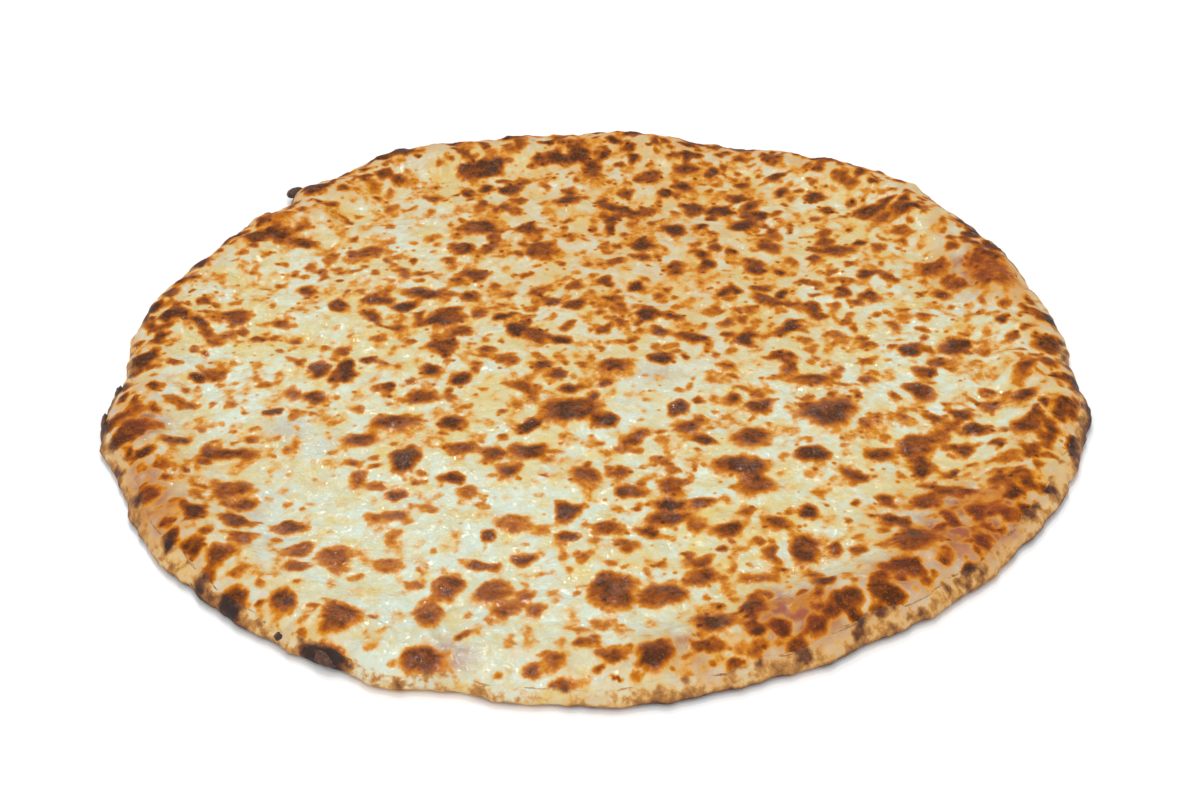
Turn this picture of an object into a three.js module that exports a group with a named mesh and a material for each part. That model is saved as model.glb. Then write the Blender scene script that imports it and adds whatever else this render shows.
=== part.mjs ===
// A large thin-crust cheese pizza, baked, whole and unsliced, lying flat on its base.
// Millimetres, +Z up. The origin is on the table under the middle of the pizza.
//
// Three layers lie one on another: the baked dough with its low raised rim, the thin tomato
// sauce, and the melted cheese, which runs up over the rim and ends a little short of the edge.
// Every surface is a set of rings round the middle, so a layer's underside copies the layer below.
import * as THREE from 'three';

// Driving dimensions
const DIAMETER = 457; // an eighteen-inch pizza
const MEAN_RADIUS = DIAMETER / 2 - 0.5; // the edge wanders to both sides of this radius
const DOUGH_FLOOR = 4.4; // dough under the sauce, in the flat middle
const SAUCE_THICKNESS = 1.0;
const SAUCE_EDGE_THICKNESS = 0.6;
const CHEESE_THICKNESS = 2.8;
const CHEESE_EDGE_THICKNESS = 1.1;
const LAYER_GAP = 0.3; // clearance that keeps the layers separate solids
const RIM_CREST = 13.0; // height of the rim's crest above the table
const RIM_WIDTH = 46; // from the edge in to where the rim meets the flat middle
const CREST_INSET = 21; // from the edge in to the rim's crest
const NOSE_HEIGHT = 3.4; // height of the outermost point of the edge
const BASE_INSET = 7; // from the edge in to where the base touches the table
const CHEESE_INSET = 4.5; // bare crust between the edge and the cheese
const SAUCE_PEEK = 1.1; // sauce that shows beyond the cheese
const SWELL = 0.55; // height of the broad waves in the melted cheese
const SWELL_WAVES = 5; // crossing waves that make up the swell
const SWELL_LENGTHS = [38, 85]; // shortest and longest of them
const RIM_ROUNDNESS = 0.62; // power of the rim's outer slope: a half would be an ellipse
const TUCK = [0.28, 0.3]; // the edge's lower corner: share of the base's inset, share of the nose's height
const SKIN = DOUGH_FLOOR + SAUCE_THICKNESS + CHEESE_THICKNESS + 2 * LAYER_GAP;

// Mesh: SECTORS steps round the edge, DISC_RINGS rings of 6, 12, 18 ... points in the flat middle
const DISC_RINGS = 25;
const SECTORS = 6 * DISC_RINGS;
const CHEESE_RIM_RINGS = 5;
const HIDDEN_RIM_RINGS = [0.4, 0.75, 1]; // shares of the way from the flat middle to the cheese's edge

// Where the hand-stretched edge leaves the circle: [bearing in degrees, millimetres, half-width in degrees]
const EDGE_BUMPS = [
  [9, -3.3, 12], [43, 6, 8], [61, 1, 3], [71, -6.5, 8], [92, -3, 4], [117, 8.5, 8], [132, 6, 2.5],
  [136, -4, 3], [149, -2, 6], [179, -6, 6], [190, 2.5, 4], [201, -2, 5], [237, 1, 6], [248, 2.2, 4],
  [254, -2, 3], [274, 2, 6], [282, -1, 4], [299, -3, 5], [331, 1.5, 7], [344, 3.5, 6], [355, -3, 5],
];
// Where the rim rises or sinks
const CREST_BUMPS = [
  [44, 1.5, 9], [70, -2, 9], [118, 3, 10], [160, -1, 14], [214, 1.2, 14], [250, -1.8, 20],
  [300, 0.8, 12], [344, 1.6, 9],
];
// Where the cheese stops further in, or runs out almost to the edge
const BARE_BUMPS = [
  [15, 1, 14], [85, 0.5, 20], [118, 2, 12], [165, -1, 14], [212, 1.5, 12], [252, -1.8, 20],
  [300, 1.5, 9], [328, 2, 12],
];
// Ripples round the edge: [waves in a full turn, millimetres]
const EDGE_RIPPLES = [[13, 0.3], [21, 0.4], [33, 0.4], [47, 0.35]];
const CREST_RIPPLES = [[7, 0.5], [13, 0.5], [22, 0.4], [37, 0.4]];

// The browned bubbles that stand up most: [x, y, half-length, half-width, turn in degrees], to the nearest 5 mm
const BUBBLES = [
  [-10, -45, 14, 12, 0], [5, -55, 9, 6, 90], [-90, -50, 12, 9, 0], [-85, -80, 11, 7, 75],
  [-80, -30, 8, 6, 0], [-30, -75, 8, 7, 0], [105, -55, 13, 12, 0], [100, -25, 13, 7, 0],
  [70, -70, 9, 8, 0], [65, -90, 13, 9, 0], [70, -105, 10, 8, 90], [-5, -95, 9, 7, 90],
  [85, -150, 10, 5, 90], [130, -150, 10, 9, 0], [5, -175, 14, 9, 90], [25, -175, 10, 8, 0],
  [45, -195, 9, 7, 0], [20, -215, 9, 7, 90], [-105, -185, 11, 8, 90], [-70, -185, 11, 6, 90],
  [-45, -170, 10, 6, 60], [-70, -210, 9, 7, 0], [-130, -175, 9, 5, 90], [-160, -145, 9, 5, 60],
  [-160, -95, 9, 8, 0], [-195, -100, 7, 6, 90], [-80, 60, 12, 6, -15], [-105, 55, 8, 6, 0],
  [-145, 110, 10, 6, -30], [-65, 100, 8, 6, 90], [-10, 145, 8, 6, 0], [5, 175, 13, 5, 90],
  [45, 110, 7, 6, 90], [125, 85, 8, 7, 0], [170, 65, 8, 6, 30], [200, 50, 20, 10, 105],
];
const BUBBLE_RISE = 0.17; // height of a bubble as a share of its mean half-size
const BUBBLE_FOOT = 1.25; // a bubble's dome starts this much outside its browned top

const smooth = (t) => t * t * (3 - 2 * t);
const mix = (a, b, t) => a + (b - a) * t;
const clamp01 = (t) => Math.min(1, Math.max(0, t));

// A number from 0 to 1 that looks random and is the same every time
function scatter(seed) {
  const value = Math.sin(seed * 12.9898 + 78.233) * 43758.5453;
  return value - Math.floor(value);
}

// Sum of soft bumps at their bearings
function bumps(list, bearing) {
  let sum = 0;
  for (const [at, size, width] of list) {
    const apart = ((((bearing * 180) / Math.PI - at) % 360) + 540) % 360 - 180;
    sum += size * Math.exp(-((apart / width) ** 2));
  }
  return sum;
}

const ripples = (list, bearing) =>
  list.reduce((sum, [waves, size]) => sum + size * Math.sin(waves * bearing + 2 * Math.PI * scatter(waves)), 0);

const edgeRadius = (bearing) => MEAN_RADIUS + bumps(EDGE_BUMPS, bearing) + ripples(EDGE_RIPPLES, bearing);
const crestHeight = (bearing) => RIM_CREST + bumps(CREST_BUMPS, bearing) + ripples(CREST_RIPPLES, bearing);
const flatRadius = (bearing) => edgeRadius(bearing) - RIM_WIDTH;
const cheeseRadius = (bearing) => edgeRadius(bearing) - CHEESE_INSET - bumps(BARE_BUMPS, bearing);
const sauceRadius = (bearing) =>
  cheeseRadius(bearing) + SAUCE_PEEK * clamp01((CHEESE_INSET + bumps(BARE_BUMPS, bearing)) / CHEESE_INSET);

// Height of the pizza's skin without bubbles: flat in the middle, up over the rim and down to the nose
function skinHeight(bearing, radius) {
  const inset = edgeRadius(bearing) - radius;
  const crest = crestHeight(bearing);
  if (inset >= CREST_INSET) {
    const climb = clamp01((RIM_WIDTH - inset) / (RIM_WIDTH - CREST_INSET));
    return mix(SKIN, crest, smooth(climb));
  }
  const fall = clamp01(1 - inset / CREST_INSET);
  return mix(NOSE_HEIGHT, crest, Math.pow(1 - fall * fall, RIM_ROUNDNESS));
}

// Broad, shallow waves of the melted cheese: crossing sine waves of scattered headings and lengths
function swell(x, y) {
  let sum = 0;
  for (let wave = 1; wave <= SWELL_WAVES; wave += 1) {
    const heading = 2 * Math.PI * scatter(wave + 100);
    const length = mix(...SWELL_LENGTHS, scatter(wave + 200));
    const along = x * Math.cos(heading) + y * Math.sin(heading);
    sum += Math.sin((2 * Math.PI * along) / length + 2 * Math.PI * scatter(wave + 300));
  }
  return (SWELL * sum) / (SWELL_WAVES / 2);
}

// Domes of the large bubbles: each is a smooth cap over an ellipse, and the tallest counts
function bubbleRise(x, y) {
  let rise = 0;
  for (const [bx, by, halfLength, halfWidth, turn] of BUBBLES) {
    const angle = (turn * Math.PI) / 180;
    const along = ((x - bx) * Math.cos(angle) + (y - by) * Math.sin(angle)) / (BUBBLE_FOOT * halfLength);
    const across = ((y - by) * Math.cos(angle) - (x - bx) * Math.sin(angle)) / (BUBBLE_FOOT * halfWidth);
    const cap = Math.max(0, 1 - along * along - across * across);
    rise = Math.max(rise, BUBBLE_RISE * Math.sqrt(halfLength * halfWidth) * smooth(cap));
  }
  return rise;
}

// Collects rings of points and the triangles between them. Rings run from the middle of the top,
// out round the edge and back to the middle of the underside, so every face points outwards.
class Shell {
  constructor() {
    this.points = [];
    this.faces = [];
  }

  ring(count, radiusAt, heightAt) {
    const first = this.points.length / 3;
    for (let i = 0; i < count; i += 1) {
      const bearing = (2 * Math.PI * i) / count;
      const radius = radiusAt(bearing);
      this.points.push(radius * Math.cos(bearing), radius * Math.sin(bearing), heightAt(bearing, radius));
    }
    return { first, count };
  }

  // An inward band is split along the same diagonal as the outward band that it lies under
  band(from, to, isInward) {
    for (let i = 0; i < from.count; i += 1) {
      const next = (i + 1) % from.count;
      const [a, b, c, d] = [from.first + i, to.first + i, to.first + next, from.first + next];
      this.faces.push(...(isInward ? [a, b, d, d, b, c] : [a, b, c, a, c, d]));
    }
    return to;
  }

  // The rings of a profile, each joined to the one before it
  bands(start, profile, isInward = false) {
    return profile.reduce(
      (last, [radiusAt, heightAt]) => this.band(last, this.ring(SECTORS, radiusAt, heightAt), isInward),
      start,
    );
  }

  // Flat triangles from a ring to one point on the axis
  cap(ring, height, isTop) {
    const centre = this.points.length / 3;
    this.points.push(0, 0, height);
    for (let i = 0; i < ring.count; i += 1) {
      const here = ring.first + i;
      const next = ring.first + ((i + 1) % ring.count);
      this.faces.push(centre, ...(isTop ? [here, next] : [next, here]));
    }
  }

  // A disc of even triangles: ring k has 6k points
  disc(radiusAt, heightAt) {
    const centre = this.ring(1, () => 0, heightAt);
    let inner = centre;
    for (let k = 1; k <= DISC_RINGS; k += 1) {
      const outer = this.ring(6 * k, (bearing) => (radiusAt(bearing) * k) / DISC_RINGS, heightAt);
      for (let side = 0; side < 6; side += 1) {
        for (let j = 0; j < k; j += 1) {
          const a = outer.first + side * k + j;
          const b = outer.first + ((side * k + j + 1) % outer.count);
          const c = inner.first + ((side * (k - 1) + j) % inner.count);
          this.faces.push(c, a, b);
          if (j < k - 1) this.faces.push(c, b, inner.first + ((side * (k - 1) + j + 1) % inner.count));
        }
      }
      inner = outer;
    }
    return inner;
  }

  geometry() {
    const made = new THREE.BufferGeometry();
    made.setAttribute('position', new THREE.Float32BufferAttribute(this.points, 3));
    made.setIndex(this.faces);
    made.computeVertexNormals();
    return made;
  }
}

// Radius at a share of the way from the flat middle to the cheese's edge
const rimRadius = (share) => (bearing) => mix(flatRadius(bearing), cheeseRadius(bearing), share);
// Thickness that tapers from the flat middle to the cheese's edge
const taper = (middle, edge) => (share) => mix(middle, edge, share);
const cheeseThickness = taper(CHEESE_THICKNESS, CHEESE_EDGE_THICKNESS);
const sauceThickness = taper(SAUCE_THICKNESS, SAUCE_EDGE_THICKNESS);

// Depths below the skin of the three hidden surfaces, at a share of the way over the rim
const cheeseUnder = (share) => cheeseThickness(share);
const sauceTop = (share) => cheeseUnder(share) + LAYER_GAP;
const sauceUnder = (share) => sauceTop(share) + sauceThickness(share);
const doughTop = (share) => sauceUnder(share) + LAYER_GAP;

// Rings of a hidden surface over the rim, as [radius, height] pairs
const hiddenRings = (shares, depth) =>
  shares.map((share) => [rimRadius(share), (bearing, radius) => skinHeight(bearing, radius) - depth(share)]);
const inward = [...HIDDEN_RIM_RINGS].reverse();

function cheeseGeometry() {
  const shell = new Shell();
  const relief = (bearing, radius) => {
    const x = radius * Math.cos(bearing);
    const y = radius * Math.sin(bearing);
    const fade = smooth(clamp01((cheeseRadius(bearing) - radius) / CREST_INSET));
    return skinHeight(bearing, radius) + swell(x, y) * fade + bubbleRise(x, y);
  };
  const top = [];
  for (let i = 1; i <= CHEESE_RIM_RINGS; i += 1) top.push([rimRadius(i / CHEESE_RIM_RINGS), relief]);
  const edge = shell.bands(shell.disc(flatRadius, relief), top);
  const under = shell.bands(edge, hiddenRings([...inward, 0], cheeseUnder), true);
  shell.cap(under, SKIN - cheeseUnder(0), false);
  return shell.geometry();
}

// The sauce reaches a little past the cheese, where it sinks to a thin lip
const LIP_DEPTH = 0.5;
const lipTop = (bearing, radius) => skinHeight(bearing, radius) - LIP_DEPTH;
const lipUnder = (bearing, radius) => lipTop(bearing, radius) - SAUCE_EDGE_THICKNESS;

function sauceGeometry() {
  const shell = new Shell();
  const middle = shell.ring(SECTORS, flatRadius, () => SKIN - sauceTop(0));
  shell.cap(middle, SKIN - sauceTop(0), true);
  const edge = shell.bands(middle, [
    ...hiddenRings(HIDDEN_RIM_RINGS, sauceTop),
    [sauceRadius, lipTop],
    [sauceRadius, lipUnder],
  ]);
  const under = shell.bands(edge, hiddenRings([...inward, 0], sauceUnder), true);
  shell.cap(under, SKIN - sauceUnder(0), false);
  return shell.geometry();
}

// Rings of the bare rim outside the sauce, as shares of the way from the sauce to the edge
const BARE_RINGS = [0.12, 0.55, 0.86, 1];

function crustGeometry() {
  const shell = new Shell();
  const middle = shell.ring(SECTORS, flatRadius, () => SKIN - doughTop(0));
  shell.cap(middle, SKIN - doughTop(0), true);
  const bareRadius = (share) => (bearing) => mix(sauceRadius(bearing), edgeRadius(bearing), share);
  const base = shell.bands(middle, [
    ...hiddenRings(HIDDEN_RIM_RINGS, doughTop),
    [sauceRadius, (bearing, radius) => lipUnder(bearing, radius) - LAYER_GAP],
    ...BARE_RINGS.map((share) => [bareRadius(share), skinHeight]),
    [(bearing) => edgeRadius(bearing) - TUCK[0] * BASE_INSET, () => TUCK[1] * NOSE_HEIGHT],
    [(bearing) => edgeRadius(bearing) - BASE_INSET, () => 0],
  ]);
  shell.cap(base, 0, false);
  return shell.geometry();
}

function layer(name, geometry, color, roughness) {
  const material = new THREE.MeshStandardMaterial({ color, roughness, metalness: 0 });
  const mesh = new THREE.Mesh(geometry, material);
  mesh.name = name;
  return mesh;
}

const crust = layer('crust', crustGeometry(), '#c08a55', 0.85);
const sauce = layer('sauce', sauceGeometry(), '#a8442a', 0.4);
const cheese = layer('cheese', cheeseGeometry(), '#e3d3a0', 0.45);

const pizza = new THREE.Group();
pizza.name = 'cheese_pizza';
pizza.add(crust, sauce, cheese);

// The uneven edge isn't centred on the rings' axis, so the whole pizza is shifted to the middle of its own box
const box = new THREE.Box3().setFromObject(pizza);
const centre = box.getCenter(new THREE.Vector3());
pizza.position.set(-centre.x, -centre.y, 0);

export default pizza;
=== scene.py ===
"""The looks of a large baked cheese pizza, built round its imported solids.

The crust, the sauce and the cheese are surfaces worked out with numpy. What lies on them, such as
browned blisters, bare patches and stains, is first worked out on a map of the pizza seen from
above, and then read off that map at every point of the surfaces.
"""

import math
from types import SimpleNamespace

import bpy
import numpy as np
from mathutils import Matrix, Vector


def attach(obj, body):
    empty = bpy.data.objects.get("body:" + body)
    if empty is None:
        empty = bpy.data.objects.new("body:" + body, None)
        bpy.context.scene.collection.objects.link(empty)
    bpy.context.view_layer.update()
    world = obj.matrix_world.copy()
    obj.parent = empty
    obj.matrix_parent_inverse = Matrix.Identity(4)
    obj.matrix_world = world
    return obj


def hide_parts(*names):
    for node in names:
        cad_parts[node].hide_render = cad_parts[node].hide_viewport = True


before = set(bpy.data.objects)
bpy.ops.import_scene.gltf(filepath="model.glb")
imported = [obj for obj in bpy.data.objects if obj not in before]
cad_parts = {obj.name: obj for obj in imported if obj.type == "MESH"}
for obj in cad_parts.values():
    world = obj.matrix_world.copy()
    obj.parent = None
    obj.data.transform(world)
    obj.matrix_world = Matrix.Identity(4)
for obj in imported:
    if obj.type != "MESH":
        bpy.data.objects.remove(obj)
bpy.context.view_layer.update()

bl_info = {
    "name": "Cheese pizza",
    "version": (1, 0, 0),
    "blender": (4, 5, 0),
    "location": "3D View > Sidebar > Pizza",
    "description": "Builds the baked crust, sauce and melted cheese of a pizza around its solids",
    "category": "Object",
}

MM = 0.001  # metres in a millimetre
SEED = 18
TURN = 2 * math.pi

# ------------------------------------------------------------------ shape shared with the solids

SECTORS = 150  # steps round the edge of the solids, which set the middle of their box
# Where the edge leaves the circle: bearing in degrees, millimetres, half-width in degrees
EDGE_BUMPS = (
    (9, -3.3, 12), (43, 6, 8), (61, 1, 3), (71, -6.5, 8), (92, -3, 4), (117, 8.5, 8), (132, 6, 2.5),
    (136, -4, 3), (149, -2, 6), (179, -6, 6), (190, 2.5, 4), (201, -2, 5), (237, 1, 6), (248, 2.2, 4),
    (254, -2, 3), (274, 2, 6), (282, -1, 4), (299, -3, 5), (331, 1.5, 7), (344, 3.5, 6), (355, -3, 5),
)
# Where the rim rises or sinks
CREST_BUMPS = (
    (44, 1.5, 9), (70, -2, 9), (118, 3, 10), (160, -1, 14), (214, 1.2, 14), (250, -1.8, 20),
    (300, 0.8, 12), (344, 1.6, 9),
)
# Where the cheese stops further in, or runs out almost to the edge
BARE_BUMPS = (
    (15, 1, 14), (85, 0.5, 20), (118, 2, 12), (165, -1, 14), (212, 1.5, 12), (252, -1.8, 20),
    (300, 1.5, 9), (328, 2, 12),
)
# Ripples round the edge: waves in a full turn, millimetres
EDGE_RIPPLES = ((13, 0.3), (21, 0.4), (33, 0.4), (47, 0.35))
CREST_RIPPLES = ((7, 0.5), (13, 0.5), (22, 0.4), (37, 0.4))
FINE_EDGE_RIPPLES = ((61, 0.28), (83, 0.24), (109, 0.2), (147, 0.16), (191, 0.12))
CHEESE_RIPPLES = ((19, 0.5), (31, 0.5), (46, 0.45))
SWELL_WAVES, SWELL_SHORTEST, SWELL_LONGEST = 5, 38, 85  # waves of the cheese, and their lengths
LAYER_GAP = 0.3
RIM_POWER = 0.62  # of the superellipse from the crest to the nose
SAUCE_EDGE = 0.6  # thickness of the sauce's edge
SAUCE_PEEK = 1.1  # how far the sauce shows past the cheese
CHEESE_EDGE = 1.1  # thickness of the cheese's edge
LEAST_BARE = 1.6  # of the crust outside the cheese
SHOULDER_PARTS = (0.4, 0.75)  # rings of the hidden layers, from the flat middle to the cheese's edge

# ------------------------------------------------------------------ relief finer than in the solids

CHEESE_WANDER = 0.9  # how far noise moves the cheese's edge
LIP_WIDTH = 1.2  # of the cheese's rounded edge
LUMPS_FADE = 5  # width over which the cheese's lumps fade out at its edge
SWELL_INSET = 9  # how far in from the pizza's edge the broad waves begin
DIP = 0.6  # how steeply the crust sinks under the cheese
# Height, cell and seed of each noise that lumps are made of
CHEESE_LUMPS = ((0.6, 10, 71), (0.38, 5, 73), (0.14, 2.6, 79))
CRUST_GRAIN = ((0.3, 4, 81), (0.16, 2, 83))
FOLD_CELL = 13  # millimetres between folds of the rim's skin
FOLD_HEIGHT, FOLD_SINK, RIM_LUMPS = 1.1, 0.4, 0.5
NOSE_GRAIN = 0.22
BASE_PIT, BASE_GRAIN = 0.5, 0.18  # depths of the broad and of the fine pits in the base
RIM_OVERLAP = 3  # how far inside the cheese's edge the rings of the bare rim begin
RIM_SPREAD = 0.9  # power that sets those rings a little closer towards the edge
BURNT_GRAIN = 0.3  # of a burnt bit, as a share of its size
BURNT_FLOOR = 0.15  # the lowest that a burnt bit reaches
# Where the sauce ends past the cheese's edge: mean, noise as a multiple of the most, least, and how
# much further in it ends where the edge is wet
SAUCE_MEAN, SAUCE_WANDER, SAUCE_LEAST, SAUCE_HIDES = -0.4, 1.5, -0.8, 1.5
SAUCE_SINK = 0.2  # how far its lip lies in the crust where it doesn't show
# Section of its lip: how far inside its edge, and how much higher where it shows
SAUCE_LIP = ((2.6, 0.3), (1.4, 0.3), (0.7, 0.26), (0.25, 0.14), (0.0, 0.0), (1.0, -0.1), (2.6, -0.1))

# ------------------------------------------------------------------ browning of the crust

TOP_SHARE, TOP_TONE = 0.9, 0.06  # how much of the map's browning its top has, and what is added
FOOT_TOAST_AND_SHADE, FOOT_TOAST_AND_SHADE_VARIES = 0.75, 0.6  # browning at the foot of the edge: toasting from the oven floor and painted shade along the bottom of the edge
BASE_TONE, BASE_SPOTS, BASE_RING = 0.22, 0.5, 0.3  # browning of the base, of its spots and near its edge
SCORCH_WIDTH = 6  # of the scorched places, in from the edge
BARE_MOST, BARE_FADE = 0.7, 6  # how bare its top is at most, and over which width it grows so

# ------------------------------------------------------------------ what lies on the pizza

# Bubbles that stand up most, the same as in the solids, placed to the nearest 5 mm: x, y,
# half-length, half-width, turn in degrees, and tone from 0, golden, to 1, almost black
BUBBLES = (
    (-10, -45, 13, 11, 0, 0.85), (5, -55, 8, 6, 90, 0.95), (-90, -50, 12, 8, 0, 0.75),
    (-85, -80, 11, 7, 75, 0.95), (-80, -30, 8, 6, 0, 0.75), (-30, -75, 8, 7, 0, 0.8),
    (105, -55, 13, 12, 0, 0.85), (100, -25, 12, 6, 0, 0.7), (70, -70, 9, 8, 0, 0.85),
    (65, -90, 12, 8, 0, 0.85), (70, -105, 9, 7, 90, 0.75), (-5, -95, 9, 7, 90, 0.6),
    (85, -150, 10, 5, 90, 0.9), (130, -150, 10, 9, 0, 0.85), (5, -175, 14, 9, 90, 0.85),
    (25, -175, 10, 8, 0, 0.75), (45, -195, 9, 7, 0, 0.95), (20, -215, 9, 7, 90, 0.95),
    (-105, -185, 11, 8, 90, 0.85), (-70, -185, 11, 6, 90, 0.65), (-45, -170, 10, 6, 60, 0.75),
    (-70, -210, 9, 7, 0, 0.85), (-130, -175, 9, 5, 90, 0.8), (-160, -145, 9, 5, 60, 0.85),
    (-160, -95, 9, 8, 0, 0.65), (-195, -100, 7, 6, 90, 0.85), (-80, 60, 12, 6, -15, 0.85),
    (-105, 55, 8, 6, 0, 0.9), (-145, 110, 10, 6, -30, 0.85), (-65, 100, 8, 6, 90, 0.8),
    (-10, 145, 8, 6, 0, 0.9), (5, 175, 13, 5, 90, 0.8), (45, 110, 7, 6, 90, 0.9),
    (125, 85, 8, 7, 0, 0.9), (170, 65, 8, 6, 30, 0.85), (200, 50, 20, 10, 105, 0.6),
)
# Flatter spots, in the same order of values
SPOTS = (
    (-30, -55, 7, 5, 60, 1), (10, -10, 8, 6, 0, 0.85), (-65, -50, 6, 5, 0, 0.9), (30, -115, 6, 4, 0, 1),
    (95, -85, 7, 6, 0, 0.95), (150, -5, 6, 5, 0, 1), (-35, 25, 6, 6, 0, 0.95), (-15, 15, 4, 4, 0, 1),
    (150, -40, 9, 5, -55, 0.8), (-130, -5, 8, 4, 75, 0.9), (155, -115, 11, 4, -25, 0.8),
    (210, -90, 9, 3, 75, 0.95), (-60, -70, 7, 5, 0, 0.9), (-65, -90, 5, 4, 0, 0.85),
    (-90, -115, 10, 4, 0, 0.75), (-35, -125, 9, 7, 0, 0.5), (-15, -135, 6, 4, 25, 0.8),
    (5, -130, 7, 5, 0, 0.75), (30, -125, 9, 5, 0, 0.8), (45, -115, 6, 5, 0, 0.85),
    (15, -105, 6, 4, 0, 0.85), (40, -60, 6, 6, 0, 0.75), (50, -70, 6, 4, -30, 0.85),
    (-10, -25, 7, 4, 0, 0.85), (75, -45, 6, 5, 0, 0.8), (125, -85, 7, 5, 0, 0.75),
    (170, -70, 6, 4, 0, 0.95), (195, -50, 6, 5, 0, 0.8), (140, -120, 8, 5, 0, 0.75),
    (90, -125, 6, 4, 90, 0.85), (75, -130, 6, 5, 0, 0.9), (55, -135, 6, 5, 0, 0.85),
    (65, -165, 8, 4, 0, 0.65), (90, -175, 4, 4, 0, 0.95), (70, -200, 6, 4, 90, 0.95),
    (85, -200, 5, 4, 90, 0.95), (40, -165, 6, 6, 0, 0.75), (-50, -150, 9, 4, 0, 0.8),
    (-40, -180, 9, 5, 50, 0.65), (-15, -225, 6, 3, 0, 0.75), (-190, -60, 7, 4, 20, 0.8),
    (-155, -105, 7, 4, 0, 0.75), (-105, -60, 8, 5, 0, 0.75), (-105, -90, 7, 4, 80, 0.7),
    (-125, -150, 6, 5, 0, 0.75), (-90, -150, 7, 5, 0, 0.5), (-165, -155, 5, 5, 0, 0.75),
    (-180, -130, 7, 4, 90, 0.9), (195, -115, 5, 4, 0, 0.85), (160, -150, 5, 5, 0, 0.8),
    (180, -95, 7, 5, 0, 0.5), (-130, -25, 6, 4, 0, 0.9), (-110, -200, 9, 5, -30, 1),
)
BUBBLE_RISE = 0.17  # height of a bubble as a share of its mean half-size
SPOT_RISE = 0.11  # the same for the smaller, scattered ones
BUBBLE_FOOT = 1.25  # a dome starts this much outside its browned top
# Scattered blisters, dark ones, golden ones and flecks: millimetres between the places where one may
# be, middle half-length, spread of its logarithm, tone, and share of the places taken
FAMILIES = ((19, 5.6, 0.25, 0.78, 0.36), (11.5, 3.5, 0.3, 0.56, 0.34), (7.4, 1.9, 0.3, 0.4, 0.42))
SCATTER_REACH = 226  # none is further from the middle
JITTER = 0.45  # how far one may be from its place, as a share of the distance between places
SLIMMEST, ROUNDEST = 0.55, 0.95  # width as a share of length
LEAST_TONE = 0.25
# What crowds them or makes them darker, and what thins them out or makes them paler
CROWDING = {"busy": 0.15, "rim": 0.55, "pale": -0.12, "clumps": 0.22}
DARKENING = {"busy": 0.08, "rim": 0.12, "pale": -0.08}
TURN_SPREAD, TONE_SPREAD = 30, 0.12
# Bends of a blister's outline: millimetres, cell of the noise
BENDS = ((2.6, 10), (1.4, 4.5))
HALO, HALO_GROWTH = 1.8, 0.14  # width outside a blister, and how it grows with the blister
# How far in from its outline a small and a large blister's fade begins, as a share of its mean
# half-size, and that size of a large one
FADE_OF_SMALL, FADE_OF_LARGE, LARGE = 0.9, 0.6, 12
PAINTED_SHADE_SHIFT = 0.3  # painted shade: how far a blister's dark top is pushed behind its middle, to its far side, as a share of its size
PAINTED_SHADE_CRISPNESS = 0.45  # painted shade: how much quicker it fades at its far side than at its sides, leaving a wider, lighter halo at its front

# ------------------------------------------------------------------ the skin between blisters

DRY_WHOLLY = 6  # how far in from the edge the rim is wholly dry
DRY_REACH, DRY_WANDER = 32, 10  # how much further in it grows wet, and how that wanders
TAN_OF_RIM, TAN_OF_FOLDS, TAN_OF_BUSY = 0.7, 0.6, 0.6
TAN_MEAN, TAN_VARIES = 0.72, 0.6  # the tan comes and goes in patches
HAZE, HAZE_COVER, HAZE_DRIFT = 0.34, 0.33, 0.95  # the golden haze: tone, how much it covers, its patches
HAZE_GAINS = {"busy": 0.15, "rim": -0.15, "pale": -0.15}  # where it covers more, or less
UNEVENNESS = 0.4  # of a blister's browning
PATCHINESS = 1.3  # how much noise breaks up the patches of sauce and the smears
EDGE_LINE, EDGE_LINE_WIDTH = 0.15, 5  # the toasted line along the edge

# Where the cheese at the edge stays pale and wet: bearing in degrees, strength, half-width in degrees
WET_EDGE = ((252, 0.9, 20), (195, 0.25, 15), (150, 0.35, 20))

# Soft-edged areas: x, y, radius, strength
PALE_AREAS = (
    (-95, -130, 75, 1), (-170, -30, 50, 0.6), (-40, -205, 60, 1), (40, -60, 60, 0.3),
    (105, -165, 30, 0.8), (150, -10, 60, 0.4), (-110, 100, 60, 0.3), (95, -70, 40, 0.3),
)
BUSY_AREAS = (
    (50, 70, 100, 0.6), (0, 150, 110, 0.75), (160, -140, 45, 0.8), (100, -195, 40, 0.9),
    (-190, -85, 38, 0.8), (-150, 150, 45, 0.7), (60, 205, 60, 0.4), (185, 75, 38, 0.8),
)
SAUCE_AREAS = (
    (75, -190, 17, 1), (155, -140, 24, 0.9), (120, -170, 12, 0.6), (-205, -45, 11, 0.8),
    (-190, -110, 14, 0.8), (-60, -205, 9, 0.5), (195, 60, 18, 0.9), (-200, -85, 10, 0.6),
    (165, -120, 12, 0.5), (30, -205, 12, 0.5),
)
SMEAR_AREAS = (
    (-140, -50, 12, 0.8), (-150, -105, 11, 0.8), (-135, -130, 10, 0.6), (30, 120, 12, 0.6),
    (50, 110, 9, 0.7), (30, -15, 8, 0.9), (-120, -60, 9, 0.5),
)
# Where the edge is scorched: bearing in degrees, strength, half-width in degrees
SCORCHED_EDGE = (
    (188, 0.9, 5), (205, 0.3, 6), (228, 0.45, 6), (241, 0.7, 2.5), (275, 0.3, 3), (346, 0.7, 5),
    (131, 0.7, 7),
)
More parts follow.
